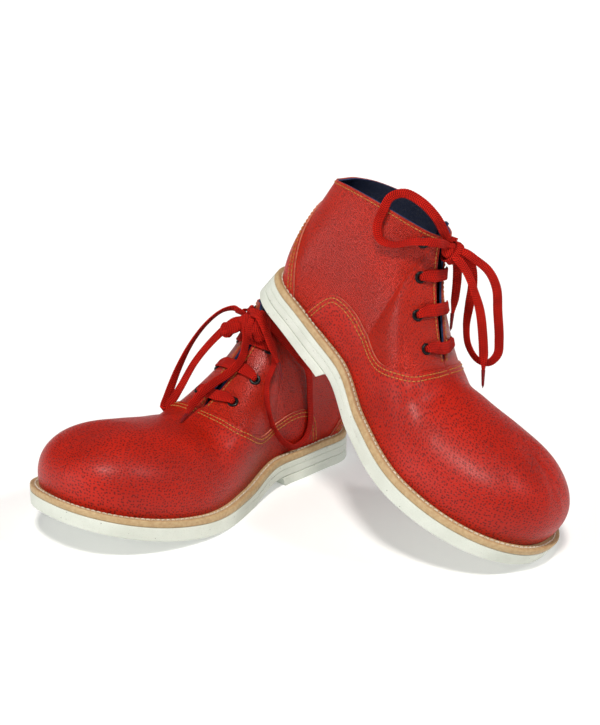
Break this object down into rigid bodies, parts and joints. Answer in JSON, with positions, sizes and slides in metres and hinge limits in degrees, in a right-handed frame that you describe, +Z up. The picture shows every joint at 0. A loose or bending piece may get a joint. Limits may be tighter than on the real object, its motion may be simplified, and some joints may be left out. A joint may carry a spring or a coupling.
{
  "type": "bulb-toe lace-up ankle boots",
  "caption": "Pair of lace-up leather ankle boots with round bulb toes; one stands flat, the other leans on it toe down.",
  "frame": {"origin": "centre of the left boot's flat heel base, on the ground", "axes": "+Z up, +X to the right and +Y away, as seen from the side both toes face"},
  "size_m": [0.4439, 0.3081, 0.2885],
  "materials": {
    "upper_leather": "semi-gloss pebbled grain",
    "welt_leather": "matte",
    "sole_rubber": "matte",
    "insole_board": "matte",
    "footbed_leather": "matte",
    "shank_steel": "brushed",
    "stiffener": "matte",
    "lining": "matte",
    "tongue_leather": "matte",
    "eyelet_black": "gloss",
    "lace": "matte weave",
    "lace_tip": "gloss"
  },
  "bodies": {
    "left_boot": {"left_outsole": "sole_rubber", "left_heel_block": "sole_rubber", "left_welt": "welt_leather", "left_insole": "insole_board", "left_footbed": "footbed_leather", "left_shank": "shank_steel", "left_quarter_outer": "upper_leather", "left_quarter_inner": "upper_leather", "left_vamp": "upper_leather", "left_heel_patch": "upper_leather", "left_heel_counter": "stiffener", "left_toe_puff": "stiffener", "left_lining": "lining", "left_eyelet_outer_1": "eyelet_black", "left_eyelet_outer_2": "eyelet_black", "left_eyelet_outer_3": "eyelet_black", "left_eyelet_outer_4": "eyelet_black", "left_eyelet_inner_1": "eyelet_black", "left_eyelet_inner_2": "eyelet_black", "left_eyelet_inner_3": "eyelet_black", "left_eyelet_inner_4": "eyelet_black", "left_bow_knot": "lace", "left_lacing": "lace", "left_loop_a": "lace", "left_loop_b": "lace", "left_tail_a": "lace", "left_tail_b": "lace", "left_aglet_a": "lace_tip", "left_aglet_b": "lace_tip"},
    "left_tongue": {"left_tongue": "tongue_leather"},
    "right_boot": {"right_outsole": "sole_rubber", "right_heel_block": "sole_rubber", "right_welt": "welt_leather", "right_insole": "insole_board", "right_footbed": "footbed_leather", "right_shank": "shank_steel", "right_quarter_outer": "upper_leather", "right_quarter_inner": "upper_leather", "right_vamp": "upper_leather", "right_heel_patch": "upper_leather", "right_heel_counter": "stiffener", "right_toe_puff": "stiffener", "right_lining": "lining", "right_eyelet_outer_1": "eyelet_black", "right_eyelet_outer_2": "eyelet_black", "right_eyelet_outer_3": "eyelet_black", "right_eyelet_outer_4": "eyelet_black", "right_eyelet_inner_1": "eyelet_black", "right_eyelet_inner_2": "eyelet_black", "right_eyelet_inner_3": "eyelet_black", "right_eyelet_inner_4": "eyelet_black", "right_bow_knot": "lace", "right_lacing": "lace", "right_loop_a": "lace", "right_loop_b": "lace", "right_tail_a": "lace", "right_tail_b": "lace", "right_aglet_a": "lace_tip", "right_aglet_b": "lace_tip"},
    "right_tongue": {"right_tongue": "tongue_leather"}
  },
  "joints": [
    {"name": "left_tongue_fold", "type": "hinge", "parent": "left_boot", "child": "left_tongue", "pos_m": [-0.07774, -0.07352, 0.07], "axis": [0.6871, -0.7266, 0], "range_deg": [-15, 0]},
    {"name": "right_boot_lift", "type": "slide", "parent": "left_boot", "child": "right_boot", "axis": [0, 0, 1], "range_m": [0, 0.25]},
    {"name": "right_tongue_fold", "type": "hinge", "parent": "right_boot", "child": "right_tongue", "pos_m": [0.11466, -0.1403, 0.13904], "axis": [0.5257, 0.8362, -0.1562], "range_deg": [-15, 0]}
  ]
}
